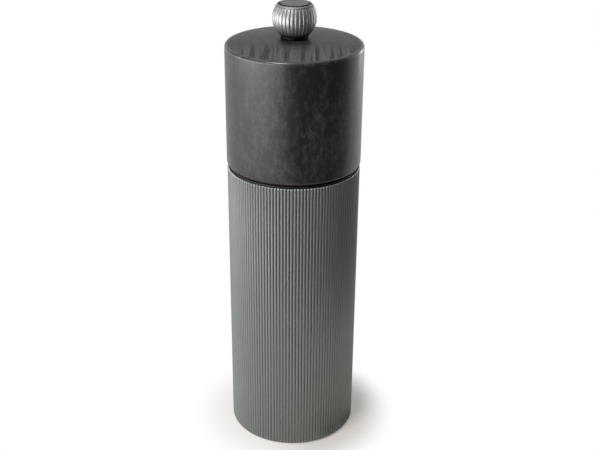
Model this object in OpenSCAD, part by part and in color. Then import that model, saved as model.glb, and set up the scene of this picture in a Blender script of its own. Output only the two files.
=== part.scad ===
// Pepper mill with a ribbed metal body, a turned wooden head and a fluted adjusting knob.
// Millimetres, +Z up, the origin at the middle of the foot on the table.
// Turning the head turns the square shaft and the inner burr. Loosening the knob lets
// the spring push the inner burr down, so the grind gets coarser.

/* [Body] */
// Diameter of the body over the rib tips
body_d = 52; // [48:0.5:60]
// Length of the ribbed sleeve
sleeve_h = 116.3; // [90:0.1:240]
// How far the sleeve's lower end stays above the table
sleeve_lift = 0.4; // [0.3:0.1:0.7]
// Number of ribs round the sleeve
rib_count = 128; // [60:1:160]
// Depth of the valleys between the ribs
rib_depth = 0.5; // [0.2:0.05:0.6]
// Metal behind the valleys of the sleeve
sleeve_wall = 1.2; // [0.8:0.1:1.5]
// Radial play between the sleeve and the liner in it
liner_play = 0.1; // [0.05:0.05:0.3]
// Wall of the liner that holds the peppercorns
liner_wall = 1.8; // [1.4:0.1:2.2]
// Thickness of the liner's rim on top of the sleeve
liner_rim_t = 0.6; // [0.4:0.1:1.5]
// Thickness of the liner's floor round the burrs
liner_floor_t = 4; // [3:0.5:6]
// Height of the neck above the liner's rim
neck_h = 8.2; // [6:0.2:9]
// Wall of the neck
neck_wall = 1.6; // [1.2:0.1:2]
// How far the black rims between the body and the head stay inside the rib tips
rim_inset = 0.8; // [0.5:0.1:1.2]

/* [Base] */
// Thickness of the foot flange under the liner
foot_t = 0.8; // [0.8:0.1:2]
// Height of the base plug, with its flange
base_h = 16; // [14:0.5:19]
// Depth from the table up to the retainer plate
outlet_depth = 7; // [6:0.1:8]
// Radial width of the ring that stands on the table
foot_w = 3.3; // [3:0.1:3.6]
// Thickness of the plate that holds the outer burr
plate_t = 1.2; // [0.8:0.1:1.6]
// Diameter of the three long retainer screws
screw_d = 2.8; // [2.4:0.1:3]
// How far the plate's hole stays back from the bore of the outer burr
plate_setback = 0.9; // [0.5:0.1:1.2]
// Diameter of the heads of the retainer screws
screw_head_d = 5; // [4.6:0.1:5.6]
// Height of the heads of the retainer screws
screw_head_h = 1.8; // [1.4:0.1:2.2]

/* [Burrs] */
// Taper of the outer burr, from the radius of its mouth to that of its foot
burr_taper = 1.65; // [1.4:0.05:2]
// Taper of the burrs from the radius of their foot to that of their waist
waist_taper = 1.4; // [1:0.1:1.8]
// Radius of the inner burr at its top
burr_top_r = 6.5; // [6.2:0.1:7.5]
// Height of the fine teeth of the inner burr
fine_h = 5; // [4:0.5:6]
// Height of the coarse feed teeth of the inner burr
feed_h = 9.5; // [8:0.5:11]
// Gap between the burrs at the finest grind
burr_gap = 0.35; // [0.2:0.05:0.6]
// How far the inner burr's foot then stays above the outer one's
burr_set = 0.3; // [0.1:0.1:0.5]
// Metal round the outer burr's mouth
burr_rim = 1.3; // [1:0.1:1.4]
// Height of the outer burr
outer_burr_h = 13.8; // [13:0.2:15]
// Number of fine teeth on each burr
fine_teeth = 24; // [16:1:30]
// Number of coarse feed teeth on each burr
feed_teeth = 8; // [6:1:10]
// Depth of the fine teeth
fine_tooth_depth = 0.7; // [0.4:0.1:0.9]
// Depth of the feed teeth of the inner burr
feed_tooth_depth = 1.7; // [1:0.1:2]
// Depth of the feed teeth of the outer burr
outer_feed_depth = 1; // [0.6:0.1:1.1]
// Slant of the teeth against the axis, in degrees
tooth_slant = 24; // [12:1:30]
// How far the lugs stand out of the outer burr
lug_out = 3.4; // [2.5:0.1:3.6]
// Width of the lugs that stop the outer burr turning
lug_w = 5; // [4:0.5:6]
// Thickness of the lugs
lug_t = 1.6; // [1:0.1:2]

/* [Bridge and spring] */
// Thickness of the bridge's legs and feet
bridge_t = 1.2; // [1:0.1:1.4]
// Width of the bridge's legs
leg_w = 4; // [3:0.5:5]
// Height of the bridge's hub
hub_h = 3; // [2.5:0.5:5]
// How far the hub stands out beyond its bush's flange
hub_ledge = 0.55; // [0.4:0.05:1]
// Wall of the bush that guides the shaft
bush_wall = 1; // [0.8:0.1:1.4]
// How far the bush's flange stands out
bush_flange_w = 0.9; // [0.6:0.1:1.2]
// Thickness of the bush's flange
bush_flange_t = 0.6; // [0.4:0.1:1]
// Length of the spring at the finest grind
spring_len = 7.4; // [7:0.1:10]
// Diameter of the spring's wire
wire_d = 0.9; // [0.7:0.1:1]
// Play between the spring and the shaft in it
spring_play = 0.3; // [0.2:0.05:0.5]
// Number of turns of the spring
spring_turns = 4.5; // [3:0.5:5]
// Thickness of the washer under the spring
spring_washer_t = 1; // [0.6:0.1:1.5]

/* [Shaft] */
// Width of the square shaft across its flats
shaft_af = 5; // [4.8:0.1:5.2]
// Diameter over the turned-down corners of the shaft
shaft_corner_d = 6.6; // [6.2:0.1:6.8]
// Diameter of the thread at the shaft's top
thread_d = 5; // [4:0.1:5.2]
// Pitch of that thread
thread_pitch = 0.8; // [0.5:0.05:1]
// Length of the threaded top of the shaft
thread_len = 20; // [16:0.5:28]
// Turns of the knob from the finest to the coarsest grind
knob_turns = 2.5; // [1:0.5:3]
// Diameter of the threaded tail below the inner burr
tail_d = 4; // [3:0.1:4.4]
// Thickness of the washer under the inner burr
burr_washer_t = 0.8; // [0.5:0.1:1]
// Height of the nut under the inner burr
nut_h = 1.6; // [1.4:0.1:1.8]
// Diameter of that washer
burr_washer_d = 9; // [8.4:0.1:10]
// Width of the nut across its flats
nut_af = 7; // [6:0.5:8]
// How far the tail reaches below the nut
tail_end = 0.4; // [0.2:0.1:0.8]
// Thickness of the clip that stops the shaft falling out
clip_t = 0.8; // [0.6:0.1:1.2]
// Radial width of that clip
clip_w = 2.4; // [1.8:0.1:3]
// Depth of the clip's groove in the shaft
clip_groove = 0.5; // [0.3:0.1:0.7]

/* [Head] */
// How far the head stands out beyond the rib tips all round
head_over = 0.2; // [-0.4:0.1:2]
// Height of the wooden head at its middle
head_h = 48.9; // [36:0.1:70]
// How far the head's top rises from its edge to its middle
head_dome = 2.3; // [0.5:0.1:6]
// Radius of the rounded top edge of the head
head_round = 1; // [0.5:0.1:2]
// Radius of the rounded bottom edge of the head
head_foot_round = 0.8; // [0.3:0.1:1.2]
// Thickness of the slip ring between the head and the body
slip_ring_t = 1; // [0.5:0.1:1.5]
// How far the head's insert stays inside the black rims
insert_inset = 2.2; // [1.6:0.1:2.6]
// Wall of the insert's skirt round the neck
skirt_wall = 1.5; // [1:0.1:1.8]
// Thickness of the insert's disc
insert_t = 2.4; // [2:0.1:4]
// Radius of the steel plate that drives the shaft
drive_plate_r = 12; // [11:0.5:14]
// Thickness of the drive plate
drive_plate_t = 1.5; // [1:0.1:2]
// Radius of the circle of the drive plate's screws
drive_screw_ring_r = 8.5; // [8:0.1:8.6]
// Diameter of the drive plate's screws
drive_screw_d = 2.6; // [2:0.1:3]
// Diameter of the heads of those screws
drive_screw_head_d = 5; // [4:0.1:5.2]
// Height of the heads of those screws
drive_screw_head_h = 1.3; // [1:0.1:2]
// Length of those screws in the wood
drive_screw_len = 9; // [6:0.5:14]
// Height of the wood that closes in on the shaft's thread at the top
head_neck_h = 4; // [3:0.5:6]
// Play between the shaft's thread and that wood
head_hole_play = 0.5; // [0.3:0.1:1]
// Play between the shaft and the bore below it
head_bore_play = 0.8; // [0.4:0.1:1.5]

/* [Knob] */
// Diameter of the knob's ball
knob_d = 16.6; // [16:0.1:17.6]
// Height of the knob from its foot to its top
knob_h = 12.4; // [11.8:0.1:13]
// Radius of the knob's foot
knob_foot_r = 4.9; // [4.7:0.1:5.4]
// Height of the plain foot under the ball
knob_foot_h = 0.3; // [0.2:0.1:0.8]
// Number of flutes round the knob
flute_count = 32; // [20:1:40]
// Depth of the flutes
flute_depth = 0.45; // [0.2:0.05:0.6]
// Radius of the disc set into the knob's top
disc_r = 5.3; // [4.8:0.05:5.4]
// Width of the groove round that disc
disc_groove = 0.6; // [0.2:0.05:0.7]
// Thickness of the disc
disc_t = 1.2; // [0.8:0.1:1.4]
// Radius of the threaded brass insert
brass_r = 3.8; // [3.6:0.1:4]
// Metal above the thread in the brass insert
brass_roof = 0.8; // [0.5:0.1:1]
// Length of thread inside the knob
thread_grip = 8.4; // [7:0.1:8.6]
// Thickness of the washer under the knob
knob_washer_t = 0.4; // [0.3:0.1:1]
// Play between that washer and the thread
knob_washer_play = 0.3; // [0.2:0.1:0.6]
// How far that washer stands out beyond the knob's foot
knob_washer_out = 0.3; // [0:0.1:0.6]

/* [Clearances] */
// Radial play of pieces that turn or slide in each other
run_play = 0.1; // [0.05:0.01:0.1]
// Play of pieces that are fixed in each other
seat_play = 0.05; // [0.02:0.01:0.08]
// Play of a screw in its clearance hole
hole_play = 0.2; // [0.1:0.05:0.3]

/* [Hidden] */
$fn = 96;
cut = 1;                         // how far a cutter runs past the face it opens
screw_count = 3;                 // screws, lugs and legs repeat at thirds of a turn
lug_turn = 180 / screw_count;    // the lugs lie halfway between the screws

// Radii of the body, from the rib tips inwards
rib_tip_r = body_d / 2;
rib_root_r = rib_tip_r - rib_depth;
sleeve_in_r = rib_root_r - sleeve_wall;
liner_r = sleeve_in_r - liner_play;
liner_in_r = liner_r - liner_wall;
rim_r = rib_tip_r - rim_inset;
base_r = liner_in_r - seat_play;
outlet_r = liner_r - foot_w;
insert_r = rim_r - insert_inset;
neck_r = insert_r - skirt_wall - run_play;
neck_in_r = neck_r - neck_wall;
neck_taper = liner_in_r - neck_in_r;

// Radii of what holds the burrs, and of the burrs, from the wall of the outlet inwards.
// A leg of the bridge stands between each retainer screw and the outer burr.
pad_r = screw_d / 2 + hole_play + bridge_t + run_play;
plate_r = outlet_r - hole_play;
screw_ring_r = plate_r - screw_head_d / 2;
shelf_r = screw_ring_r + pad_r + hole_play;
outer_burr_r = screw_ring_r - pad_r;
burr_hole_r = outer_burr_r + run_play;
mouth_r = outer_burr_r - burr_rim;
outer_foot_r = mouth_r - burr_taper;
outer_waist_r = outer_foot_r - waist_taper;
burr_foot_r = outer_foot_r - burr_gap;
burr_waist_r = outer_waist_r - burr_gap;
plate_in_r = outer_foot_r + plate_setback;

// Heights of the base and the burrs, from the table up
plate_z = outlet_depth;
outer_burr_z = plate_z + plate_t;
inner_burr_z = outer_burr_z + burr_set;
waist_z = inner_burr_z + fine_h;
inner_burr_top = waist_z + feed_h;
outer_burr_top = outer_burr_z + outer_burr_h;
liner_floor_top = base_h + liner_floor_t;
pad_top = liner_floor_top + bridge_t;
spring_z = inner_burr_top + spring_washer_t;
spring_top = spring_z + spring_len;
hub_z = spring_top + bush_flange_t;
hub_top = hub_z + hub_h;
burr_travel = thread_pitch * knob_turns;
clip_z = hub_top + burr_travel + hole_play;

// Heights of the body, the head and the knob
sleeve_top = sleeve_lift + sleeve_h;
rim_top = sleeve_top + liner_rim_t;
neck_top = rim_top + neck_h;
neck_gap = 1.1;                  // room between the neck and the insert's disc
head_z = rim_top + slip_ring_t;
head_top = head_z + head_h;
insert_disc_z = neck_top + neck_gap;
insert_top = insert_disc_z + insert_t;
drive_plate_z = insert_disc_z - drive_plate_t;
knob_z = head_top + knob_washer_t;
knob_top = knob_z + knob_h;
shaft_top = knob_z + thread_grip;
thread_z = shaft_top - thread_len;

// Radii of the shaft and of what goes round it
corner_r = shaft_corner_d / 2;
thread_r = thread_d / 2;
bush_in_r = corner_r + run_play;
bush_r = bush_in_r + bush_wall;
bush_hole_r = bush_r + seat_play;
flange_r = bush_r + bush_flange_w;
hub_r = flange_r + hub_ledge;
spring_r = bush_in_r + spring_play + wire_d / 2;
head_bore_r = corner_r + head_bore_play;
head_hole_r = thread_r + head_hole_play;
tail_r = tail_d / 2;
nut_z = inner_burr_z - burr_washer_t - nut_h;
tail_z = nut_z - tail_end;

// The knob's ball, the disc in its top and the washer that it stands on
ball_r = knob_d / 2;
knob_mid = knob_foot_h + sqrt(pow(ball_r, 2) - pow(knob_foot_r, 2));
recess_r = disc_r + disc_groove;
washer_r = knob_foot_r + knob_washer_out;

// The dome of the head is part of a ball whose middle lies this far below the washer
head_r = rib_tip_r + head_over;
dome_depth = (pow(head_r, 2) - pow(washer_r, 2) + pow(head_dome, 2)) / (2 * head_dome);
dome_r = norm([dome_depth, washer_r]);
dome_z = head_top - dome_depth;

// Colours
alu_grey = [0.44, 0.45, 0.43];
graphite = [0.24, 0.24, 0.235];
black_plastic = [0.09, 0.09, 0.09];
burr_steel = [0.36, 0.36, 0.37];
bright_steel = [0.70, 0.70, 0.70];
nickel = [0.74, 0.74, 0.73];
brass = [0.78, 0.62, 0.32];

// A tube between two heights
module tube(r, r_in, z, top) {
    translate([0, 0, z]) difference() {
        cylinder(r = r, h = top - z);
        translate([0, 0, -cut]) cylinder(r = r_in, h = top - z + 2 * cut);
    }
}

// A solid turned about the axis from [radius, height] points
module turned(points) {
    rotate_extrude() polygon(points);
}

// Its children at equal steps round the axis, the first one at the given angle
module around(count, first = 0) {
    for (i = [0 : count - 1]) rotate([0, 0, first + i * 360 / count]) children();
}

// One hole for each screw on a circle, between two heights
module screw_holes(ring_r, r, z, top) {
    around(screw_count) translate([ring_r, 0, z - cut]) cylinder(r = r, h = top - z + 2 * cut);
}

// Points of an arc in an outline, from one angle to another
function arc(r, z, radius, from, to, steps = 6) =
    [for (i = [0 : steps]) let (a = from + (to - from) * i / steps)
        [r + radius * cos(a), z + radius * sin(a)]];

// A pan-head screw that points up, with the upper face of its head at the given height
module screw(d, head_d, head_h, z, len) {
    slot_len = head_d * 0.6;
    slot_w = head_d * 0.14;
    slot_depth = head_h * 0.6;
    translate([0, 0, z - head_h]) difference() {
        cylinder(r = head_d / 2, h = head_h);
        for (a = [0, 90]) rotate([0, 0, a]) translate([-slot_len / 2, -slot_w / 2, -cut])
            cube([slot_len, slot_w, cut + slot_depth]);
    }
    translate([0, 0, z - head_h + slot_depth]) cylinder(r = d / 2, h = len + head_h - slot_depth);
}

// A thread drawn as a row of pointed rings, on a core that starts lower
module thread_rings(r, pitch, z, top) {
    root = r - pitch / 2;
    ring_count = floor((top - z) / pitch);
    turned(concat([[0, z - cut], [root, z - cut]],
        [for (i = [0 : ring_count - 1])
            each [[root, top - (ring_count - i) * pitch],
                  [r, top - (ring_count - i - 0.5) * pitch]]],
        [[root, top], [0, top]]));
}

// A slanted groove along a cone, between two [radius, height] ends. Its point lies
// at the given depth in the cone's wall, inwards or, for a hollow cone, outwards.
module tooth_gap(low, high, depth, inwards) {
    slope = high - low;
    middle = (low + high) / 2;
    translate([middle[0], 0, middle[1]]) rotate([0, atan2(slope[0], slope[1]), 0])
        rotate([inwards ? tooth_slant : -tooth_slant, 0, inwards ? 0 : 180])
            linear_extrude(height = norm(slope) * 1.5, center = true)
                polygon([[-depth, 0], [depth, -depth], [depth, depth]]);
}

// ---- body ----

// One rib, as shares of its pitch and of its depth
rib_profile = [[0.1, 0], [0.32, 1], [0.68, 1], [0.9, 0]];

module body_sleeve() {
    ribs = [for (i = [0 : rib_count - 1]) for (p = rib_profile)
        let (a = (i + p[0]) * 360 / rib_count, r = rib_root_r + rib_depth * p[1])
            [r * cos(a), r * sin(a)]];
    color(alu_grey) translate([0, 0, sleeve_lift]) linear_extrude(height = sleeve_h) difference() {
        polygon(ribs);
        circle(r = sleeve_in_r);
    }
}

module body_liner() {
    color(black_plastic) difference() {
        turned([
            [liner_in_r, foot_t], [liner_r, foot_t], [liner_r, sleeve_top], [rim_r, sleeve_top],
            [rim_r, rim_top], [neck_r, rim_top], [neck_r, neck_top], [neck_in_r, neck_top],
            [neck_in_r, sleeve_top], [liner_in_r, sleeve_top - neck_taper],
            [liner_in_r, pad_top + liner_in_r - shelf_r], [shelf_r, pad_top],
            [shelf_r, liner_floor_top], [burr_hole_r, liner_floor_top], [burr_hole_r, base_h],
            [liner_in_r, base_h]]);
        screw_holes(screw_ring_r, screw_d / 2 + seat_play, base_h, liner_floor_top);
    }
}

// ---- base and burr mechanism ----

module base_plug() {
    slot_w = lug_w + 2 * run_play;
    color(black_plastic) difference() {
        turned([
            [outlet_r, 0], [liner_r, 0], [liner_r, foot_t], [base_r, foot_t], [base_r, base_h],
            [burr_hole_r, base_h], [burr_hole_r, outer_burr_z], [outlet_r, outer_burr_z]]);
        screw_holes(screw_ring_r, screw_d / 2 + hole_play, outer_burr_z, base_h);
        around(screw_count, lug_turn) translate([0, -slot_w / 2, outer_burr_z - cut])
            cube([outer_burr_r + lug_out + run_play, slot_w, cut + lug_t + run_play]);
    }
}

module outer_burr() {
    foot = [outer_foot_r, outer_burr_z];
    waist = [outer_waist_r, waist_z];
    mouth = [mouth_r, outer_burr_top];
    color(burr_steel) difference() {
        union() {
            translate([0, 0, outer_burr_z]) cylinder(r = outer_burr_r, h = outer_burr_h);
            around(screw_count, lug_turn) translate([0, -lug_w / 2, outer_burr_z])
                cube([outer_burr_r + lug_out, lug_w, lug_t]);
        }
        union() {
            turned([[0, outer_burr_z - cut], [outer_foot_r, outer_burr_z - cut], foot, waist,
                    mouth, [mouth_r, outer_burr_top + cut], [0, outer_burr_top + cut]]);
            around(fine_teeth) tooth_gap(foot, waist, fine_tooth_depth, false);
            around(feed_teeth) tooth_gap(waist, mouth, outer_feed_depth, false);
        }
    }
}

module inner_burr() {
    foot = [burr_foot_r, inner_burr_z];
    waist = [burr_waist_r, waist_z];
    top = [burr_top_r, inner_burr_top];
    hole = shaft_af + 2 * seat_play;
    color(burr_steel) difference() {
        turned([[0, inner_burr_z], foot, waist, top, [0, inner_burr_top]]);
        translate([-hole / 2, -hole / 2, inner_burr_z - cut])
            cube([hole, hole, fine_h + feed_h + 2 * cut]);
        around(fine_teeth) tooth_gap(foot, waist, fine_tooth_depth, true);
        around(feed_teeth) tooth_gap(waist, top, feed_tooth_depth, true);
    }
}

module retainer_plate() {
    color(bright_steel) difference() {
        tube(plate_r, plate_in_r, plate_z, outer_burr_z);
        screw_holes(screw_ring_r, screw_d / 2 + hole_play, plate_z, outer_burr_z);
    }
}

module retainer_screws() {
    color(bright_steel) around(screw_count) translate([screw_ring_r, 0, 0])
        screw(screw_d, screw_head_d, screw_head_h, plate_z, pad_top - plate_z);
}

module bearing_bridge() {
    leg_out = screw_ring_r - screw_d / 2 - hole_play;
    leg_in = leg_out - bridge_t;
    knee_z = outer_burr_top + bridge_t;
    root_r = hub_r - hub_ledge / 2;
    color(bright_steel) difference() {
        union() {
            translate([0, 0, hub_z]) cylinder(r = hub_r, h = hub_h);
            around(screw_count) {
                translate([screw_ring_r, 0, liner_floor_top]) cylinder(r = pad_r, h = bridge_t);
                rotate([90, 0, 0]) linear_extrude(height = leg_w, center = true) polygon([
                    [screw_ring_r, liner_floor_top], [screw_ring_r, pad_top],
                    [leg_out, pad_top], [leg_out, knee_z + bridge_t], [root_r, hub_top],
                    [root_r, hub_z], [leg_in, knee_z], [leg_in, liner_floor_top]]);
            }
        }
        translate([0, 0, hub_z - cut]) cylinder(r = bush_hole_r, h = hub_h + 2 * cut);
        screw_holes(screw_ring_r, screw_d / 2 + seat_play, liner_floor_top, pad_top);
    }
}

module bridge_bush() {
    color(brass) turned([[bush_in_r, spring_top], [flange_r, spring_top], [flange_r, hub_z],
                         [bush_r, hub_z], [bush_r, hub_top], [bush_in_r, hub_top]]);
}

module burr_spring() {
    turn_count = 20;             // rings of points in each turn
    side_count = 8;              // points round the wire
    count = round(spring_turns * turn_count);
    rise = (spring_len - wire_d) / count;
    points = [for (i = [0 : count]) for (k = [0 : side_count - 1])
        let (a = 360 * i / turn_count, b = 360 * k / side_count,
             r = spring_r + wire_d / 2 * cos(b), z = spring_z + wire_d / 2 * (1 + sin(b)))
            [r * cos(a), r * sin(a), z + rise * i]];
    skin = [for (i = [0 : count - 1]) for (k = [0 : side_count - 1])
        let (n = (k + 1) % side_count, p = i * side_count, q = p + side_count)
            [p + k, q + k, q + n, p + n]];
    first = [for (k = [0 : side_count - 1]) k];
    last = [for (k = [side_count - 1 : -1 : 0]) count * side_count + k];
    color(bright_steel) polyhedron(points, concat(skin, [first, last]));
}

module spring_washer() {
    color(bright_steel) tube(spring_r + wire_d, bush_in_r, inner_burr_top, spring_z);
}

// ---- shaft ----

module drive_shaft() {
    groove_h = clip_t + 2 * seat_play;
    tail_root = inner_burr_z + burr_washer_t;    // the tail starts inside the inner burr
    color(bright_steel) {
        difference() {
            intersection() {
                translate([-shaft_af / 2, -shaft_af / 2, tail_root])
                    cube([shaft_af, shaft_af, thread_z - tail_root]);
                translate([0, 0, tail_root]) cylinder(r = corner_r, h = thread_z - tail_root);
            }
            tube(corner_r + cut, corner_r - clip_groove, clip_z - seat_play,
                 clip_z - seat_play + groove_h);
        }
        thread_rings(thread_r, thread_pitch, thread_z, shaft_top);
        translate([0, 0, tail_z]) cylinder(r = tail_r, h = tail_root - tail_z + cut);
    }
}

module burr_washer() {
    color(bright_steel)
        tube(burr_washer_d / 2, tail_r + seat_play, inner_burr_z - burr_washer_t, inner_burr_z);
}

module burr_nut() {
    color(bright_steel) translate([0, 0, nut_z]) difference() {
        cylinder(r = nut_af / 2 / cos(30), h = nut_h, $fn = 6);
        translate([0, 0, -cut]) cylinder(r = tail_r + seat_play, h = nut_h + 2 * cut);
    }
}

module shaft_clip() {
    in_r = corner_r - clip_groove + seat_play;
    mouth = in_r * 1.5;          // width of the clip's open side
    color(bright_steel) difference() {
        tube(in_r + clip_w, in_r, clip_z, clip_z + clip_t);
        translate([0, -mouth / 2, clip_z - cut])
            cube([in_r + clip_w + cut, mouth, clip_t + 2 * cut]);
    }
}

// ---- head ----

module slip_ring() {
    color(black_plastic) tube(rim_r, neck_r + run_play, rim_top, head_z);
}

module head_block() {
    round_r = head_r - head_round;
    round_z = dome_z + sqrt(pow(dome_r - head_round, 2) - pow(round_r, 2));
    edge_angle = acos(round_r / (dome_r - head_round));
    seat_angle = acos(washer_r / dome_r);
    hole_r = insert_r + seat_play;
    color(graphite) difference() {
        turned(concat(
            [[hole_r, head_z]],
            arc(head_r - head_foot_round, head_z + head_foot_round, head_foot_round, -90, 0),
            arc(round_r, round_z, head_round, 0, edge_angle),
            arc(0, dome_z, dome_r, edge_angle, seat_angle, 12),
            [[head_hole_r, head_top], [head_hole_r, head_top - head_neck_h],
             [head_bore_r, head_top - head_neck_h], [head_bore_r, insert_top],
             [hole_r, insert_top]]));
        around(screw_count) translate([drive_screw_ring_r, 0, insert_top - cut])
            cylinder(r = drive_screw_d / 2 + seat_play, h = cut + drive_screw_len);
    }
}

module head_insert() {
    skirt_r = neck_r + run_play;
    color(black_plastic) difference() {
        turned([[skirt_r, head_z], [insert_r, head_z], [insert_r, insert_top],
                [head_bore_r, insert_top], [head_bore_r, insert_disc_z],
                [skirt_r, insert_disc_z]]);
        screw_holes(drive_screw_ring_r, drive_screw_d / 2 + hole_play, insert_disc_z, insert_top);
    }
}

module drive_plate() {
    hole = shaft_af + 2 * run_play;
    color(bright_steel) difference() {
        translate([0, 0, drive_plate_z]) cylinder(r = drive_plate_r, h = drive_plate_t);
        translate([-hole / 2, -hole / 2, drive_plate_z - cut])
            cube([hole, hole, drive_plate_t + 2 * cut]);
        screw_holes(drive_screw_ring_r, drive_screw_d / 2 + hole_play, drive_plate_z,
                    insert_disc_z);
    }
}

module drive_plate_screws() {
    screw_end = 1;               // the pilot holes run this much deeper than the screws
    color(bright_steel) around(screw_count) translate([drive_screw_ring_r, 0, 0])
        screw(drive_screw_d, drive_screw_head_d, drive_screw_head_h, drive_plate_z,
              insert_top - drive_plate_z + drive_screw_len - screw_end);
}

// ---- knob ----

module knob_washer() {
    color(black_plastic) tube(washer_r, thread_r + knob_washer_play, head_top, knob_z);
}

// How deep the flutes are from the foot of the ball, at 0, to its flat top, at 1
flute_ring_count = 14;
flute_run_in = 0.17;             // share of the way in which they start
flute_end = 0.95;                // where they have run out
flute_run_out = 0.07;            // share in which they do so
function flute_fade(t) = min(1, t / flute_run_in, max(0, flute_end - t) / flute_run_out);

module knob_shell() {
    point_count = 4;             // points round each flute
    count = flute_count * point_count;
    low = -acos(knob_foot_r / ball_r);
    high = asin((knob_h - knob_mid) / ball_r);
    ball = [for (j = [0 : flute_ring_count]) let (t = j / flute_ring_count, a = low + (high - low) * t)
        [ball_r * cos(a), knob_mid + ball_r * sin(a), flute_depth * flute_fade(t)]];
    rows = concat([[knob_foot_r, 0, 0]], ball);
    steps = [for (i = [0 : count - 1]) i];
    points = [for (row = rows) for (i = steps)
        let (dip = 1 - abs(sin(180 * i / point_count)), r = row[0] - row[2] * dip,
             a = 360 * i / count)
            [r * cos(a), r * sin(a), knob_z + row[1]]];
    skin = [for (j = [0 : len(rows) - 2]) for (i = steps)
        let (n = (i + 1) % count, p = j * count, q = p + count) [p + i, q + i, q + n, p + n]];
    ends = [steps, [for (i = steps) len(points) - 1 - i]];
    color(nickel) difference() {
        polyhedron(points, concat(skin, ends));
        translate([0, 0, knob_z - cut]) cylinder(r = brass_r + seat_play, h = cut + brass_h);
        translate([0, 0, knob_top - disc_t]) cylinder(r = recess_r, h = disc_t + cut);
    }
}

thread_end = 0.4;                // room above the shaft in the knob
brass_h = thread_grip + thread_end + brass_roof;

module knob_brass() {
    color(brass) difference() {
        translate([0, 0, knob_z]) cylinder(r = brass_r, h = brass_h);
        translate([0, 0, knob_z - cut])
            cylinder(r = thread_r + seat_play, h = cut + thread_grip + thread_end);
    }
}

module knob_disc() {
    z = knob_top - disc_t;
    edge = 0.1;                  // bevel round the disc
    color(nickel) turned([[0, z], [disc_r, z], [disc_r, knob_top - edge],
                          [disc_r - edge, knob_top], [0, knob_top]]);
}

body_sleeve();
body_liner();
base_plug();
outer_burr();
retainer_plate();
retainer_screws();
bearing_bridge();
bridge_bush();
burr_spring();
spring_washer();
drive_shaft();
inner_burr();
burr_washer();
burr_nut();
shaft_clip();
slip_ring();
head_block();
head_insert();
drive_plate();
drive_plate_screws();
knob_washer();
knob_shell();
knob_brass();
knob_disc();
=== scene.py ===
"""A pepper mill: ribbed metal body, stained wooden head, fluted metal knob and the burrs inside.

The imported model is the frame. Pieces that need a finer shape than its solids have are modelled
here from the same sizes, and every solid that stays gets its finish here.
"""
import math

import bmesh
import bpy
from mathutils import Matrix, Vector


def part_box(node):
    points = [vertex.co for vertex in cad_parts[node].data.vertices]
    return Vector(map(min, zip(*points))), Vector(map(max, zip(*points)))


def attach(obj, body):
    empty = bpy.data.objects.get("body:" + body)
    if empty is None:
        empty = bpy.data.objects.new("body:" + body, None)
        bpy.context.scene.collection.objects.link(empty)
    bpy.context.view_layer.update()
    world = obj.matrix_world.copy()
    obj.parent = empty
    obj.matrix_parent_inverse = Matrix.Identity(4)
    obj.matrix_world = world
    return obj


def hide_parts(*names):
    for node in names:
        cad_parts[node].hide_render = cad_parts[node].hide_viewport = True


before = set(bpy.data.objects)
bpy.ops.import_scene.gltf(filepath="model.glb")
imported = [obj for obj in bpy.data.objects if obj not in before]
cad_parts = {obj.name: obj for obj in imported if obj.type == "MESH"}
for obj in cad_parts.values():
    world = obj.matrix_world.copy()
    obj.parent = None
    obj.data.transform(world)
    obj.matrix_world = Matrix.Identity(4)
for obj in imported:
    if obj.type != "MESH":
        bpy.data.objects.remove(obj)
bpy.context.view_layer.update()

bl_info = {
    "name": "Pepper mill",
    "version": (1, 0, 0),
    "blender": (4, 5, 0),
    "location": "3D View > Sidebar > Pepper mill",
    "description": "Dresses the pepper mill's frame with finished pieces, materials and a stage",
    "category": "Object",
}

MM = 0.001                       # metres in a millimetre
TURN = 2 * math.pi
MERGE_DISTANCE = 1e-7            # metres within which points are one


# ---- places that come from the frame, in millimetres ----

def low(node):
    """The height of a CAD node's lowest point."""
    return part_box(node)[0].z / MM


def high(node):
    """The height of a CAD node's highest point."""
    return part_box(node)[1].z / MM


def half_width(node):
    """How far a CAD node reaches from the mill's axis."""
    lowest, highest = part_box(node)
    return max(highest.x, highest.y, -lowest.x, -lowest.y) / MM


# ---- the sizes and colours that a user would change ----

class MillShape(bpy.types.PropertyGroup):
    """Sizes of the pieces that are modelled here, in millimetres unless they are counts."""
    rib_count: bpy.props.IntProperty(
        name="Ribs", description="Number of ribs round the sleeve", default=128, min=60, max=160)
    rib_depth: bpy.props.FloatProperty(
        name="Rib depth", description="Depth of the valleys between the ribs", default=0.5, min=0.2)
    rib_bevel: bpy.props.FloatProperty(
        name="Rib end bevel", description="Bevel on the ends of the ribs", default=0.3, min=0.05)
    sleeve_wall: bpy.props.FloatProperty(
        name="Sleeve wall", description="Metal behind the valleys", default=1.2, min=0.5)
    dome_rise: bpy.props.FloatProperty(
        name="Dome", description="Rise of the head's top from its edge to its middle", default=2.3)
    edge_round: bpy.props.FloatProperty(
        name="Top edge", description="Radius of the head's upper edge", default=1.0, min=0.2)
    foot_round: bpy.props.FloatProperty(
        name="Lower edge", description="Radius of the head's lower edge", default=0.8, min=0.1)
    flute_count: bpy.props.IntProperty(
        name="Flutes", description="Number of flutes round the knob", default=32, min=12, max=48)
    flute_depth: bpy.props.FloatProperty(
        name="Flute depth", description="Depth of the flutes", default=0.45, min=0.1)
    knob_foot: bpy.props.FloatProperty(
        name="Knob foot", description="Radius of the knob's foot", default=4.9, min=3)
    disc_rise: bpy.props.FloatProperty(
        name="Disc rise", description="How far the disc stands above the knob's rim",
        default=0.15, min=0)
    disc_groove: bpy.props.FloatProperty(
        name="Disc groove", description="Width of the groove round the knob's disc", default=0.8)
    disc_depth: bpy.props.FloatProperty(
        name="Disc recess", description="Depth of the recess that holds the disc", default=1.2)
    knob_bore: bpy.props.FloatProperty(
        name="Knob bore", description="Radius of the bore for the brass insert", default=3.85)


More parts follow.
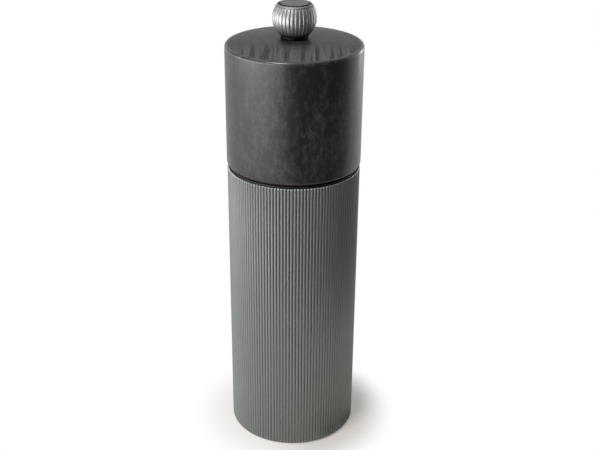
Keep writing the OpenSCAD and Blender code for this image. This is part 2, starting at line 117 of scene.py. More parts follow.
class MillColours(bpy.types.PropertyGroup):
    """Colours of the finishes."""
    sleeve: bpy.props.FloatVectorProperty(
        name="Sleeve", description="Anodised aluminium", subtype="COLOR", size=3,
        default=(0.209, 0.221, 0.211))
    wood: bpy.props.FloatVectorProperty(
        name="Wood", description="Stained wood between the flecks", subtype="COLOR", size=3,
        default=(0.0105, 0.0104, 0.0100))
    wood_fleck: bpy.props.FloatVectorProperty(
        name="Wood flecks", description="Rays and flecks that took less stain", subtype="COLOR",
        size=3, default=(0.052, 0.051, 0.0485))
    nickel: bpy.props.FloatVectorProperty(
        name="Knob", description="Satin nickel", subtype="COLOR", size=3,
        default=(0.47, 0.464, 0.454))
    plastic: bpy.props.FloatVectorProperty(
        name="Black plastic", description="Moulded black plastic", subtype="COLOR", size=3,
        default=(0.010, 0.010, 0.010))
    steel: bpy.props.FloatVectorProperty(
        name="Steel", description="Stamped and drawn steel", subtype="COLOR", size=3,
        default=(0.52, 0.52, 0.51))
    burr_steel: bpy.props.FloatVectorProperty(
        name="Burr steel", description="Hardened steel of the burrs", subtype="COLOR", size=3,
        default=(0.20, 0.20, 0.205))
    brass: bpy.props.FloatVectorProperty(
        name="Brass", description="Turned brass", subtype="COLOR", size=3,
        default=(0.68, 0.48, 0.20))
    floor: bpy.props.FloatVectorProperty(
        name="Floor", description="Pale floor", subtype="COLOR", size=3,
        default=(0.85, 0.795, 0.72))


class MillStage(bpy.types.PropertyGroup):
    """The camera and the lamps."""
    camera_distance: bpy.props.FloatProperty(
        name="Distance", description="Camera's distance in front of the mill's axis",
        default=0.3791, unit="LENGTH")
    camera_height: bpy.props.FloatProperty(
        name="Height", description="Camera's height above the table", default=0.2699, unit="LENGTH")
    camera_tilt: bpy.props.FloatProperty(
        name="Tilt", description="How far the camera looks down", default=0.4632, subtype="ANGLE")
    camera_roll: bpy.props.FloatProperty(
        name="Roll", description="Slight lean of the camera", default=0.0060, subtype="ANGLE")
    camera_lens: bpy.props.FloatProperty(
        name="Lens", description="Focal length in millimetres on a 36 mm sensor", default=62.16)
    camera_shift: bpy.props.FloatVectorProperty(
        name="Shift", description="Shift of the frame, in widths", size=2, default=(0.0113, 0.0345))
    key_power: bpy.props.FloatProperty(
        name="Key", description="Power of the soft lamp on the left, in watts", default=5.0)
    fill_power: bpy.props.FloatProperty(
        name="Fill", description="Power of the weak lamp on the right, in watts", default=0.40)
    top_power: bpy.props.FloatProperty(
        name="Top", description="Power of the lamp overhead, in watts", default=2.6)
    sky: bpy.props.FloatProperty(
        name="Room light", description="Strength of the room's own light", default=0.26)
    mirrored_sky: bpy.props.FloatProperty(
        name="Mirrored room", description="Brightness of the room in reflections", default=0.42)


# ---- shader maths ----

class Socket:
    """One output of a shader node. Python's operators on it add Math nodes."""

    def __init__(self, finish, output):
        self.finish = finish
        self.output = output

    def maths(self, operation, a, b=None):
        inputs = {0: a} if b is None else {0: a, 1: b}
        return self.finish.add("ShaderNodeMath", {"operation": operation}, inputs)

    def __add__(self, other):
        return self.maths("ADD", self, other)

    def __radd__(self, other):
        return self.maths("ADD", other, self)

    def __sub__(self, other):
        return self.maths("SUBTRACT", self, other)

    def __rsub__(self, other):
        return self.maths("SUBTRACT", other, self)

    def __mul__(self, other):
        return self.maths("MULTIPLY", self, other)

    def __rmul__(self, other):
        return self.maths("MULTIPLY", other, self)

    def __truediv__(self, other):
        return self.maths("DIVIDE", self, other)

    def root(self):
        return self.maths("SQRT", self)

    def step(self, start, end, low_value=0.0, high_value=1.0):
        """Goes smoothly from one value to another as this one goes from start to end."""
        return self.finish.add(
            "ShaderNodeMapRange", {"interpolation_type": "SMOOTHSTEP"},
            {"Value": self, "From Min": start, "From Max": end,
             "To Min": low_value, "To Max": high_value})


class Finish:
    """A material with one Principled shader, and the one method that adds its other nodes."""

    def __init__(self, name):
        self.material = bpy.data.materials.new(name)
        self.material.use_nodes = True
        self.tree = self.material.node_tree
        self.shader = self.tree.nodes["Principled BSDF"]

    def add(self, kind, settings=None, inputs=None, output=0):
        """Adds a node: its settings are set first, then the values or links of its sockets."""
        node = self.tree.nodes.new(kind)
        for name, value in (settings or {}).items():
            setattr(node, name, value)
        self.connect(node, inputs or {})
        return Socket(self, node.outputs[output])

    def connect(self, node, inputs):
        for key, value in inputs.items():
            if isinstance(value, Socket):
                self.tree.links.new(value.output, node.inputs[key])
            else:
                node.inputs[key].default_value = value

    def surface(self, **inputs):
        """Sets or links the Principled shader's sockets; an underscore stands for a space."""
        self.connect(self.shader, {key.replace("_", " "): value for key, value in inputs.items()})
        return self.material

    # the patterns that several finishes share, all on Object coordinates in millimetres

    def place(self):
        """The point on the piece, in millimetres."""
        point = self.add("ShaderNodeTexCoord", output="Object")
        return self.add("ShaderNodeVectorMath", {"operation": "SCALE"},
                        {0: point, "Scale": 1 / MM})

    def parts(self, vector):
        """The x, y and z of a vector."""
        first = self.add("ShaderNodeSeparateXYZ", inputs={0: vector})
        node = first.output.node
        return [Socket(self, node.outputs[i]) for i in range(3)]

    def vector(self, x, y, z):
        return self.add("ShaderNodeCombineXYZ", inputs={0: x, 1: y, 2: z})

    def noise(self, vector, scale, detail=2.0, rough=0.5):
        """Noise from about 0.25 to 0.75, whose spots are about 1 / scale apart."""
        return self.add("ShaderNodeTexNoise", {"normalize": True},
                        {"Vector": vector, "Scale": scale, "Detail": detail, "Roughness": rough})

    def blend(self, share, first, second):
        """A colour between two others."""
        node = self.tree.nodes.new("ShaderNodeMix")
        node.data_type = "RGBA"
        sockets = {0: share, 6: first, 7: second}
        self.connect(node, {key: value if isinstance(value, Socket) or key == 0
                            else (*value, 1.0) for key, value in sockets.items()})
        return Socket(self, node.outputs[2])

    def bump(self, height, distance):
        """A normal from a height between 0 and 1 that stands for so many millimetres."""
        return self.add("ShaderNodeBump", inputs={
            "Height": height, "Distance": distance * MM, "Strength": 1.0})


def colours():
    return bpy.context.scene.mill_colours


def shape():
    return bpy.context.scene.mill_shape


def anodised_aluminium():
    """Satin grey anodising, with painted shade in the valleys and on the end face under the head, a
    painted highlight on the rib ends and painted light that is stronger at the foot than at the
    top.
    """
    finish = Finish("anodised_aluminium")
    place = finish.place()
    x, y, z = finish.parts(place)
    radius = (x * x + y * y).root()
    root = half_width("body_sleeve") - shape().rib_depth
    tip = radius.step(root, root + shape().rib_depth)
    drawn = finish.noise(finish.vector(x * 3.0, y * 3.0, z * 0.05), 1.0, 3.0)
    cloud = finish.noise(place, 0.08, 2.0)
    top = high("body_sleeve")
    # painted highlight: the bevelled rib ends are brighter in colour; painted shade: the sleeve's
    # end face behind them is dark
    rim = z.step(top - 0.40, top - 0.25) * radius.step(root + 0.15, root + 0.25)
    face = z.step(top - 0.04, top - 0.01) * radius.step(root + 0.1, root - 0.1)
    colour = tuple(colours().sleeve)
    # painted shade: the valleys between the ribs are 0.7 of the colour
    painted_valley_shade = tuple(0.7 * c for c in colour)
    # painted highlight on the rib ends: twice the colour
    bright = tuple(2.0 * c for c in colour)
    base = finish.blend(rim, finish.blend(tip.step(0.1, 0.6), painted_valley_shade, colour), bright)
    # painted light: the sleeve is lighter towards the foot and darker towards the top
    painted_light_at_foot, painted_light_at_top = 1.12, 0.90
    level = ((0.9 + 0.2 * drawn) * (1.0 - 0.9 * face)
             * z.step(0.0, top, painted_light_at_foot, painted_light_at_top))
    base = finish.add("ShaderNodeVectorMath", {"operation": "SCALE"}, {0: base, "Scale": level})
    fine = finish.noise(place, 9.0, 2.0)
    rough = 0.49 + 0.12 * cloud + 0.06 * drawn - 0.25 * rim
    return finish.surface(
        Base_Color=base, Metallic=0.7, Roughness=rough, Normal=finish.bump(fine, 0.004))


def stained_wood():
    """Beech stained graphite grey under a satin lacquer. The pith lies far behind the mill, so
    the rays run from back to front: streaks on the top, short upright flecks on the front."""
    finish = Finish("stained_wood")
    place = finish.place()
    pith_distance = 110.0
    pith = (-30.0, pith_distance, 0.0)
    ring_width = 4.6
    from_pith = finish.add("ShaderNodeVectorMath", {"operation": "SUBTRACT"}, {0: place, 1: pith})
    x, y, z = finish.parts(from_pith)
    wander = finish.noise(place, 0.06, 2.0)
    depth = (x * x + y * y).root()
    angle = finish.add("ShaderNodeMath", {"operation": "ARCTAN2"}, {0: x, 1: y})
    across = angle * pith_distance + 1.5 * wander

    broad = finish.noise(finish.vector(across * 0.75, depth * 0.05, z * 0.30), 1.0, 3.0, 0.6)
    fine = finish.noise(finish.vector(across * 2.6, depth * 0.12, z * 0.9), 1.0, 3.0, 0.6)
    fibre = finish.noise(finish.vector(x * 3.0, y * 3.0, z * 0.10), 1.0, 3.0, 0.55)
    speck = finish.noise(finish.vector(x * 1.3, y * 1.3, z * 0.9), 1.0, 2.0)
    mottle = finish.noise(finish.vector(x * 0.42, y * 0.42, z * 0.17), 1.0, 3.0, 0.55)
    patch = finish.noise(finish.vector(x * 0.10, y * 0.10, z * 0.045), 1.0, 2.0)
    ring = (depth + 6.0 * wander + 0.10 * z) / ring_width
    ring = finish.add("ShaderNodeMath", {"operation": "FRACT"}, {0: ring})
    late = ring.step(0.60, 0.93) - ring.step(0.95, 1.0)

    light = 0.46 * broad.step(0.42, 0.64) + 0.18 * fine.step(0.40, 0.62) + 0.9 * (speck - 0.5)
    light = light + 1.0 * (mottle - 0.5) + 1.6 * (patch - 0.5) + 0.35 * (fibre - 0.5)
    px, py, pz = finish.parts(place)
    outer, top = half_width("head_block"), high("head_block")
    radius = (px * px + py * py).root()
    lid = pz.step(top - 3.6, top - 2.6)                      # the domed top
    shoulder = (1.0 - lid) * pz.step(top - 28.0, top - 6.0)  # the upper half of the side
    light = light - 0.16 * late - 0.22 * shoulder
    light = finish.add("ShaderNodeClamp", inputs={"Value": light})
    base = finish.blend(light, tuple(colours().wood), tuple(colours().wood_fleck))

    corner = lid * radius.step(outer - 1.5, outer - 1.0)     # the rounded upper edge
    bend = px + 1.2 * wander
    ray = finish.noise(finish.vector(bend * 0.55, py * 0.025, 0.0), 1.0, 3.0, 0.55)
    front = lid * (1.0 - corner) * py.step(-5.0, -18.0)
    streak = ray.step(0.38, 0.60)
    base = finish.blend(front * streak, base, tuple(2.0 * c for c in colours().wood_fleck))
    rough = 0.34 + 0.12 * mottle + 0.26 * front * (1.0 - streak)
    height = 0.5 * fibre + 0.4 * broad - 0.3 * late
    return finish.surface(
        Base_Color=base, Roughness=rough, Normal=finish.bump(height, 0.03),
        Specular_IOR_Level=0.57, Specular_Tint=(1.0, 0.975, 0.94, 1.0),
        Coat_Weight=0.05 + 0.8 * corner, Coat_Roughness=0.18, Coat_IOR=1.5)


def satin_nickel():
    """Plated metal with a fine grain and cloudy wear; painted shade makes it dark above the foot
    and darker on the band under the rim, which is also duller.
    """
    finish = Finish("satin_nickel")
    place = finish.place()
    z = finish.parts(place)[2]
    cloud = finish.noise(place, 0.35, 3.0)
    fine = finish.noise(place, 7.0, 2.0)
    colour = tuple(colours().nickel)
    dull = tuple(0.82 * c for c in colour)
    base = finish.blend(cloud.step(0.35, 0.65), dull, colour)
    foot, top = low("knob_shell"), high("knob_shell")
    band = z.step(top - 1.3, top - 1.0)                      # the plain band under the rim
    # painted shade: dark above the foot, and 15 % darker on the band under the rim
    painted_shade = z.step(foot + 0.4, foot + 3.2, 0.12, 1.0) * (1.0 - 0.15 * band)
    base = finish.add("ShaderNodeVectorMath", {"operation": "SCALE"}, {0: base, "Scale": painted_shade})
    return finish.surface(
        Base_Color=base, Metallic=1.0, Roughness=0.42 + 0.10 * cloud + 0.15 * band,
        Normal=finish.bump(fine, 0.003))


def spun_nickel():
    """The disc's face, with the rings that turning left. Its colour is the knob's nickel darkened
    as painted shade, and painted shade blackens its edge.
    """
    finish = Finish("spun_nickel")
    place = finish.place()
    x, y = finish.parts(place)[:2]
    radius = (x * x + y * y).root()
    rings = finish.noise(finish.vector(radius * 9.0, 0.0, 0.0), 1.0, 2.0, 0.6)
    cloud = finish.noise(place, 0.3, 2.0)
    # painted shade: the knob's nickel at 0.48 stands for the disc's dim reflection
    colour = tuple(0.48 * c for c in colours().nickel)
    dull = tuple(0.5 * c for c in colour)
    edge = half_width("knob_disc")
    base = finish.blend(rings.step(0.35, 0.65), dull, colour)
    # painted shade: the disc's outer edge goes almost black, for the shade in the groove round it
    painted_shade = radius.step(edge - 0.09, edge - 0.03, 1.0, 0.03)
    base = finish.add("ShaderNodeVectorMath", {"operation": "SCALE"}, {0: base, "Scale": painted_shade})
    return finish.surface(
        Base_Color=base, Metallic=1.0, Roughness=0.22 + 0.10 * cloud,
        Normal=finish.bump(rings, 0.05))


def black_plastic(name="black_plastic", tone=1.0, shine=0.4):
    """Moulded black plastic with a fine matt grain and faint flow marks."""
    finish = Finish(name)
    place = finish.place()
    grain = finish.noise(place, 6.0, 3.0, 0.65)
    flow = finish.noise(place, 0.12, 2.0)
    colour = tuple(tone * c for c in colours().plastic)
    worn = tuple(2.2 * c for c in colour)
    base = finish.blend(flow.step(0.4, 0.7), colour, worn)
    return finish.surface(
        Base_Color=base, Roughness=0.42 + 0.18 * grain, Specular_IOR_Level=shine,
        Normal=finish.bump(grain, 0.012))


def drawn_steel(name, colour, roughness, stretch, mark=0.8):
    """Steel with marks of drawing, rolling or grinding that run along the stretched axis."""
    finish = Finish(name)
    place = finish.place()
    x, y, z = finish.parts(place)
    lines = finish.noise(finish.vector(x * stretch[0], y * stretch[1], z * stretch[2]), 1.0, 3.0)
    cloud = finish.noise(place, 0.4, 2.0)
    dull = tuple(mark * c for c in colour)
    base = finish.blend(lines.step(0.35, 0.65), dull, colour)
    return finish.surface(
        Base_Color=base, Metallic=1.0, Roughness=roughness + 0.14 * cloud,
        Normal=finish.bump(lines, 0.006))


# ---- mesh helpers ----

def turned(outline, steps, closed=True):
    """A mesh spun about the mill's axis from an outline of (radius, height) millimetres."""
    bm = bmesh.new()
    verts = [bm.verts.new((r * MM, 0, z * MM)) for r, z in outline]
    pairs = list(zip(verts, verts[1:]))
    if closed:
        pairs.append((verts[-1], verts[0]))
    edges = [bm.edges.new(pair) for pair in pairs]
    bmesh.ops.spin(bm, geom=verts + edges, cent=(0, 0, 0), axis=(0, 0, 1), angle=TURN,
                   steps=steps, use_merge=True, use_duplicate=False)
    bmesh.ops.remove_doubles(bm, verts=bm.verts, dist=MERGE_DISTANCE)
    bmesh.ops.recalc_face_normals(bm, faces=bm.faces)
    return bm


def radius_of(vertex):
    return math.hypot(vertex.co.x, vertex.co.y) / MM


def finish_piece(bm, name, body, material, replaced, sharp_angle=35):
    """Turns a bmesh into a piece that rides on a body and stands for CAD nodes."""
    mesh = bpy.data.meshes.new(name)
    bm.to_mesh(mesh)
    bm.free()
    mesh.shade_smooth()
    mesh.set_sharp_from_angle(angle=math.radians(sharp_angle))
    mesh.materials.append(material)
    piece = bpy.data.objects.new(name, mesh)
    bpy.context.scene.collection.objects.link(piece)
    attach(piece, body)
    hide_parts(*replaced)


def paint(node, material):
    """Gives a CAD node its finish."""
    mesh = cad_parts[node].data
    mesh.materials.clear()
    mesh.materials.append(material)


def arc(radius, height, size, start, end, steps):
    """Points of an arc in an outline, with its angles in radians."""
    return [(radius + size * math.cos(start + (end - start) * i / steps),
             height + size * math.sin(start + (end - start) * i / steps))
            for i in range(steps + 1)]


# ---- the pieces ----

class MILL_OT_sleeve(bpy.types.Operator):
    """Model the ribbed sleeve with rounded ribs and bevelled rib ends"""
    bl_idname = "mill.sleeve"
    bl_label = "Ribbed sleeve"

    rib_points = 8               # points round each rib
    rib_fullness = 0.6           # power of the ribs' curve: the smaller, the fuller they are

    def execute(self, context):
        made = shape()
        tip = half_width("body_sleeve")
        bottom, top = low("body_sleeve"), high("body_sleeve")
        inner = tip - made.rib_depth - made.sleeve_wall
        bevel = made.rib_bevel

        bm = bmesh.new()
        bmesh.ops.create_circle(bm, cap_ends=False, segments=made.rib_count * self.rib_points,
                                radius=tip * MM)
        ring = sorted(bm.verts, key=lambda v: math.atan2(v.co.y, v.co.x) % TURN)
        self.place_ring(ring, tip - bevel, bottom)
        edges = list(bm.edges)
        for limit, height in ((tip, bottom + bevel), (tip, top - bevel), (tip - bevel, top),
                              (inner, top), (inner, bottom)):
            grown = bmesh.ops.extrude_edge_only(bm, edges=edges)["geom"]
            ring = [g for g in grown if isinstance(g, bmesh.types.BMVert)]
            ring.sort(key=lambda v: math.atan2(v.co.y, v.co.x) % TURN)
            edges = [g for g in grown if isinstance(g, bmesh.types.BMEdge)
                     and g.verts[0] in set(ring) and g.verts[1] in set(ring)]
            self.place_ring(ring, limit, height)
        first = [e for e in bm.edges if e.is_boundary and e not in set(edges)]
        bmesh.ops.bridge_loops(bm, edges=first + edges)
        bmesh.ops.recalc_face_normals(bm, faces=bm.faces)
        finish_piece(bm, "ribbed_sleeve", "mill_body", anodised_aluminium(),
                     ["body_sleeve"], sharp_angle=50)
        return {"FINISHED"}

    def place_ring(self, ring, limit, height):
        """Puts a ring at a height, with each point on the rib's curve or on the limit."""
        made = shape()
        tip = half_width("body_sleeve")
        for i, vertex in enumerate(ring):
            rise = abs(math.sin(math.pi * i / self.rib_points)) ** self.rib_fullness
            radius = min(tip - made.rib_depth * (1 - rise), limit)
            angle = TURN * i / len(ring)
            vertex.co = (radius * MM * math.cos(angle), radius * MM * math.sin(angle),
                         height * MM)


class MILL_OT_head(bpy.types.Operator):
    """Model the turned wooden head with its domed top and rounded edges"""
    bl_idname = "mill.head"
    bl_label = "Wooden head"

    steps = 192                  # steps round the head
    insert_play = 0.05           # play round the insert
    hole = 3.0                   # radius of the hole in the top
    neck = 4.0                   # height of that hole
    bore = 4.1                   # radius of the bore below it

    def execute(self, context):
        made = shape()
        outer = half_width("head_block")
        bottom, top = low("head_block"), high("head_block")
        socket = half_width("head_insert") + self.insert_play
        socket_top = high("head_insert")
        seat = half_width("knob_washer")
        rise = made.dome_rise
        below = (outer ** 2 - seat ** 2 + rise ** 2) / (2 * rise)
        ball = math.hypot(below, seat)
        corner = made.edge_round
        edge_r = outer - corner
        edge_z = top - below + math.sqrt((ball - corner) ** 2 - edge_r ** 2)
        edge_angle = math.acos(edge_r / (ball - corner))
        seat_angle = math.acos(seat / ball)
        outline = [(socket, bottom)]
        outline += arc(outer - made.foot_round, bottom + made.foot_round, made.foot_round,
                       -math.pi / 2, 0, 6)
        outline += [(outer, bottom + (top - bottom) * i / 8) for i in range(1, 7)]
        outline += arc(edge_r, edge_z, corner, 0, edge_angle, 8)
        outline += arc(0, top - below, ball, edge_angle, seat_angle, 16)[1:]
        outline += [(self.hole, top), (self.hole, top - self.neck), (self.bore, top - self.neck),
                    (self.bore, socket_top), (socket, socket_top)]
        bm = turned(outline, self.steps)
        finish_piece(bm, "wooden_head", "head", stained_wood(), ["head_block"])
        return {"FINISHED"}


class MILL_OT_knob(bpy.types.Operator):
    """Model the fluted knob and the disc in its top"""
    bl_idname = "mill.knob"
    bl_label = "Fluted knob"

    flute_points = 10            # points round each flute
    ball_radius = 8.3            # radius of the ball that the outline follows
    foot_height = 0.3            # height of the straight foot
    rim_round = 0.12             # how far the ball ends below the rim
    step_depth = 0.25            # depth of the step under the rim
    band_inset = 0.03            # how far the band above the step lies back from the ball
    # shares of the way up the ball: where the outline's flutes end, the step's two ends, the band
    fluted_end, step_start, step_end, band_start = 0.943, 0.947, 0.964, 0.968
    fade_end = 0.945             # share at which the flutes have run out
    run_in = 0.08                # share in which they start
    run_out = 0.03               # share in which they run out
    flute_limit = 0.98           # how near to the flute's sharp middle its curve is followed
    rim_shift = 0.02             # how far outwards of its middle the rim turns flat
    near = 0.01                  # how close to the ball a point has to be to be fluted
    corner = 0.05                # bevel at the groove's edge
    disc_steps = 96              # steps round the disc
    disc_bevel = 0.06            # bevel on the disc's edge

    def execute(self, context):
        made = shape()
        bottom, top = low("knob_shell"), high("knob_shell")
        ball = self.ball_radius
        foot = made.knob_foot
        middle = bottom + self.foot_height + math.sqrt(ball ** 2 - foot ** 2)
        groove = half_width("knob_disc") + made.disc_groove
        floor = top - made.disc_depth
        bore = made.knob_bore
        bore_top = high("knob_brass")
        start = -math.acos(foot / ball)
        rim_top = top - made.disc_rise
        end = math.asin((rim_top - self.rim_round - middle) / ball)
        span = end - start
        rim = ball * math.cos(end)
        outline = [(bore, bottom), (foot, bottom)]
        outline += arc(0, middle, ball, start, start + self.fluted_end * span, 38)
        outline += arc(0, middle, ball - self.step_depth, start + self.step_start * span,
                       start + self.step_end * span, 1)
        outline += arc(0, middle, ball - self.band_inset, start + self.band_start * span, end, 3)
        outline += [((rim + groove) / 2 + self.rim_shift, rim_top),
                    (groove + self.corner, rim_top), (groove, rim_top - self.corner),
                    (groove, floor), (0, floor), (0, bore_top), (bore, bore_top)]
        bm = turned(outline, made.flute_count * self.flute_points)
        for vertex in bm.verts:
            radius = radius_of(vertex)
            height = vertex.co.z / MM - middle
            off_ball = abs(math.hypot(radius, height) - ball)
            if off_ball > self.near or radius < foot - self.near:
                continue
            share = (math.atan2(height, radius) - start) / span
            fade = min(1, share / self.run_in, max(0, self.fade_end - share) / self.run_out)
            angle = math.atan2(vertex.co.y, vertex.co.x)
            across = abs((made.flute_count * angle / TURN) % 1 * 2 - 1)
            across = min(across, self.flute_limit)
            dip = 1 - (1 - across ** 3) ** 0.4
            scale = 1 - made.flute_depth * fade * dip / radius
            vertex.co.x *= scale
            vertex.co.y *= scale
        finish_piece(bm, "fluted_knob", "knob", satin_nickel(), ["knob_shell"], 45)

        radius = half_width("knob_disc")
        bevel = self.disc_bevel
        disc = turned([(0, floor), (radius, floor), (radius, top - bevel), (radius - bevel, top),
                       (0, top)], self.disc_steps, closed=False)
        finish_piece(disc, "knob_top_disc", "knob", spun_nickel(), ["knob_disc"])
        return {"FINISHED"}


class MILL_OT_plastic(bpy.types.Operator):
    """Give the black plastic parts their finish"""
    bl_idname = "mill.plastic"
    bl_label = "Black plastic parts"

    def execute(self, context):
        # the slip ring and the knob washer get a matt copy at 0.3 of the colour: painted shade in
        # the gap under the head and at the knob's foot
        moulded, matt_shaded = black_plastic(), black_plastic("matt_shaded_plastic", 0.3, 0.05)
        for node in ("body_liner", "base_plug", "head_insert"):
            paint(node, moulded)
        for node in ("slip_ring", "knob_washer"):
            paint(node, matt_shaded)
        return {"FINISHED"}


class MILL_OT_mechanism(bpy.types.Operator):
    """Give the shaft, the burrs and their fittings their finishes"""
    bl_idname = "mill.mechanism"
    bl_label = "Grinding mechanism"

    def execute(self, context):
        steel = tuple(colours().steel)
        across, along = (2.5, 2.5, 2.5), (5.0, 5.0, 0.2)
        stamped = drawn_steel("stamped_steel", steel, 0.26, across)
        drawn = drawn_steel("drawn_steel", steel, 0.22, along)
        burr = drawn_steel("burr_steel", tuple(colours().burr_steel), 0.34, across, 0.6)
        brass = drawn_steel("turned_brass", tuple(colours().brass), 0.22, (0.5, 0.5, 6.0))
        finishes = {
            "retainer_plate": stamped, "retainer_screws": stamped, "bearing_bridge": stamped,
            "spring_washer": stamped, "burr_washer": stamped, "burr_nut": stamped,
            "shaft_clip": stamped, "drive_plate": stamped, "drive_plate_screws": stamped,
            "burr_spring": drawn, "drive_shaft": drawn, "outer_burr": burr, "inner_burr": burr,
            "bridge_bush": brass, "knob_brass": brass,
        }
        for node, material in finishes.items():
            paint(node, material)
        return {"FINISHED"}


class MILL_OT_stage(bpy.types.Operator):
    """Set up the floor, the lamps, the room and the camera"""
    bl_idname = "mill.stage"
    bl_label = "Stage"

    sensor_width = 36            # in millimetres
    clip_start = 0.01            # nearest distance that the camera sees
    lamp_target = (0, 0, 0.1)    # the point that the lamps face
    floor_size = 4.0             # half the floor's width
    floor_drop = 0.05            # how far the floor lies under the foot, in millimetres
    flag_height = 0.0005         # height of the flat cards
    wall_height = 1.2            # height of the standing card
    card_glow = 0.075            # brightness of the cards in reflections
    # the cards' corners on the floor; the one by the foot is painted shadow, dark in reflections of
    # the floor where the mill's shadow lies
    floor_flag = [(-0.05, -0.16), (0.10, -0.12), (0.18, 0.02), (0.42, 0.09),
                  (0.80, 0.12), (0.80, -0.40), (0.40, -0.80), (-0.22, -0.80)]
    foot_shadow_flag = [(0.013, -0.0243), (0.0225, -0.016), (0.0273, -0.003),
                 (0.031, -0.003), (0.026, -0.019), (0.015, -0.0275)]
    wall_flag = [(-0.25, -0.80), (0.70, -0.60), (0.80, 0.05)]

    def execute(self, context):
        scene = context.scene
        scene.view_settings.view_transform = "Standard"
        stage = scene.mill_stage
        self.make_camera(scene, stage)
        self.make_floor()
        self.make_room(scene, stage.sky, stage.mirrored_sky)
        warm, neutral = (1.0, 0.92, 0.84), (1.0, 1.0, 0.99)
        self.make_lamp("key_lamp", (-0.626, -0.313, 0.085), (1.25, 0.14), stage.key_power, neutral)
        self.make_lamp("fill_lamp", (0.36, 0.37, 0.15), (0.10, 0.30), stage.fill_power, warm)
        self.make_lamp("top_lamp", (-0.22, -0.31, 0.75), (0.22, 0.22), stage.top_power, neutral)
        self.make_flag("floor_flag", self.floor_flag, self.flag_height, 0.0)
        self.make_flag("foot_shadow_flag", self.foot_shadow_flag, self.flag_height, 0.0)
        self.make_flag("wall_flag", self.wall_flag, 0.0, self.wall_height)
        return {"FINISHED"}

    def make_flag(self, name, corners, height, rise):
        """A dark card that only reflections show: flat at a height, or a wall that rises."""
        bm = bmesh.new()
        verts = [bm.verts.new((x, y, height)) for x, y in corners]
        if rise:
            edges = [bm.edges.new(pair) for pair in zip(verts, verts[1:])]
            grown = bmesh.ops.extrude_edge_only(bm, edges=edges)["geom"]
            top = [g for g in grown if isinstance(g, bmesh.types.BMVert)]
            bmesh.ops.translate(bm, verts=top, vec=(0, 0, rise))
        else:
            bm.faces.new(verts)
        mesh = bpy.data.meshes.new(name)
        bm.to_mesh(mesh)
        bm.free()
        mesh.materials.append(Finish("dark_card").surface(
            Base_Color=(0.01, 0.01, 0.01, 1.0), Roughness=1.0, Specular_IOR_Level=0.0,
            Emission_Color=(1.0, 1.0, 1.0, 1.0), Emission_Strength=self.card_glow))
        flag = bpy.data.objects.new(name, mesh)
        flag.visible_camera = flag.visible_diffuse = flag.visible_shadow = False
        bpy.context.scene.collection.objects.link(flag)

    def make_camera(self, scene, stage):
        data = bpy.data.cameras.new("camera")
        data.sensor_width = self.sensor_width
        data.lens = stage.camera_lens
        data.shift_x, data.shift_y = stage.camera_shift
        data.clip_start = self.clip_start
        camera = bpy.data.objects.new("camera", data)
        camera.location = (0, -stage.camera_distance, stage.camera_height)
        lean = Matrix.Rotation(math.pi / 2 - stage.camera_tilt, 3, "X")
        camera.rotation_euler = (lean @ Matrix.Rotation(stage.camera_roll, 3, "Z")).to_euler()
        scene.collection.objects.link(camera)
        scene.camera = camera

    def make_lamp(self, name, place, size, power, colour):
        data = bpy.data.lights.new(name, "AREA")
        data.shape = "RECTANGLE"
        data.size, data.size_y = size
        data.energy = power
        data.color = colour
        lamp = bpy.data.objects.new(name, data)
        lamp.location = place
        aim = Vector(self.lamp_target) - Vector(place)
        lamp.rotation_euler = aim.to_track_quat("-Z", "Y").to_euler()
        bpy.context.scene.collection.objects.link(lamp)

    def make_floor(self):
        bm = bmesh.new()
        bmesh.ops.create_grid(bm, x_segments=1, y_segments=1, size=self.floor_size)
        bmesh.ops.translate(bm, verts=bm.verts, vec=(0, 0, -self.floor_drop * MM))
        mesh = bpy.data.meshes.new("floor")
        bm.to_mesh(mesh)
        bm.free()
        mesh.materials.append(self.floor_finish())
        floor = bpy.data.objects.new("floor", mesh)
        bpy.context.scene.collection.objects.link(floor)

    def floor_finish(self):
        """A pale floor that the eye sees fade to white away from the mill's shadow."""
        finish = Finish("pale_floor")
        finish.surface(Base_Color=(*colours().floor, 1.0), Roughness=0.8, Specular_IOR_Level=0.1)
        x, y = finish.parts(finish.place())[:2]
        radius = (x * x + y * y).root()
        lit_side = x.step(15.0, -15.0)
        bright = radius.step(25.0, 45.0, 0.6, 1.0)
        seen = finish.add("ShaderNodeLightPath", output=0)
        mirrored = finish.add("ShaderNodeLightPath", output=3)
        away = 0.0
        for ray, shaded in ((seen, radius.step(28.0, 46.0, 0.22, 1.0)),
                            (mirrored, radius.step(35.0, 110.0, 0.30, 1.0))):
            away = away + ray * (shaded + (bright - shaded) * lit_side)
        white = finish.add("ShaderNodeEmission", inputs={"Color": (1, 1, 1, 1), "Strength": 1.0})
        mix = finish.tree.nodes.new("ShaderNodeMixShader")
        lit = Socket(finish, finish.shader.outputs[0])
        finish.connect(mix, {0: away, 1: lit, 2: white})
        output = finish.tree.nodes["Material Output"]
        finish.tree.links.new(mix.outputs[0], output.inputs[0])
        return finish.material

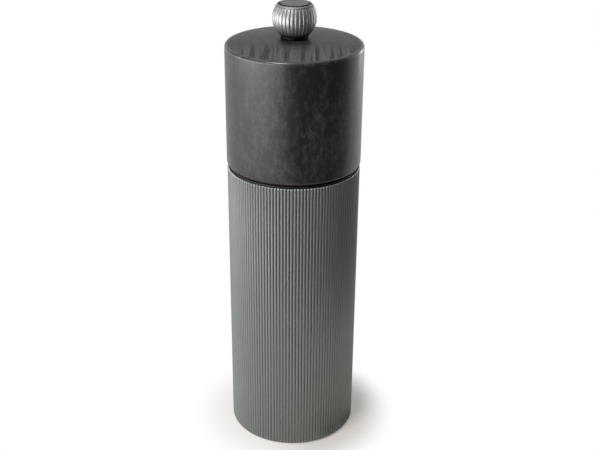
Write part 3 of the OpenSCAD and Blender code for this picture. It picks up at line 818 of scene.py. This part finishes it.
    def make_room(self, scene, strength, mirror):
        """Plain light for the mill, and white behind it for the eye and for reflections."""
        world = bpy.data.worlds.new("room")
        world.use_nodes = True
        tree = world.node_tree
        background = tree.nodes["Background"]
        background.inputs["Color"].default_value = (1, 1, 1, 1)
        path = tree.nodes.new("ShaderNodeLightPath")
        seen = tree.nodes.new("ShaderNodeMath")
        seen.operation = "MAXIMUM"
        tree.links.new(path.outputs["Is Camera Ray"], seen.inputs[0])
        mirrored = tree.nodes.new("ShaderNodeMath")
        mirrored.operation = "MULTIPLY_ADD"
        mirrored.inputs[1].default_value = mirror
        tree.links.new(path.outputs["Is Glossy Ray"], mirrored.inputs[0])
        tree.links.new(path.outputs["Is Transmission Ray"], mirrored.inputs[2])
        tree.links.new(mirrored.outputs[0], seen.inputs[1])
        level = tree.nodes.new("ShaderNodeMapRange")
        level.inputs["To Min"].default_value = strength
        level.inputs["To Max"].default_value = 1.0
        tree.links.new(seen.outputs[0], level.inputs["Value"])
        tree.links.new(level.outputs[0], background.inputs["Strength"])
        scene.world = world


class MILL_PT_panel(bpy.types.Panel):
    """Buttons for each piece of the mill"""
    bl_idname = "MILL_PT_panel"
    bl_label = "Pepper mill"
    bl_space_type = "VIEW_3D"
    bl_region_type = "UI"
    bl_category = "Pepper mill"

    def draw(self, context):
        for group in (context.scene.mill_shape, context.scene.mill_colours,
                      context.scene.mill_stage):
            box = self.layout.box()
            for name in group.bl_rna.properties.keys():
                if name not in {"rna_type", "name"}:
                    box.prop(group, name)
        for operator in OPERATORS:
            self.layout.operator(operator.bl_idname)


GROUPS = {"mill_shape": MillShape, "mill_colours": MillColours, "mill_stage": MillStage}
OPERATORS = (MILL_OT_stage, MILL_OT_sleeve, MILL_OT_head, MILL_OT_knob, MILL_OT_plastic,
             MILL_OT_mechanism)
CLASSES = (*GROUPS.values(), *OPERATORS, MILL_PT_panel)


def register():
    for item in CLASSES:
        bpy.utils.register_class(item)
    for name, group in GROUPS.items():
        setattr(bpy.types.Scene, name, bpy.props.PointerProperty(type=group))


def unregister():
    for name in GROUPS:
        delattr(bpy.types.Scene, name)
    for item in reversed(CLASSES):
        bpy.utils.unregister_class(item)


def main():
    register()
    for operator in OPERATORS:
        group, name = operator.bl_idname.split(".")
        getattr(getattr(bpy.ops, group), name)()


if __name__ == "__main__":
    main()
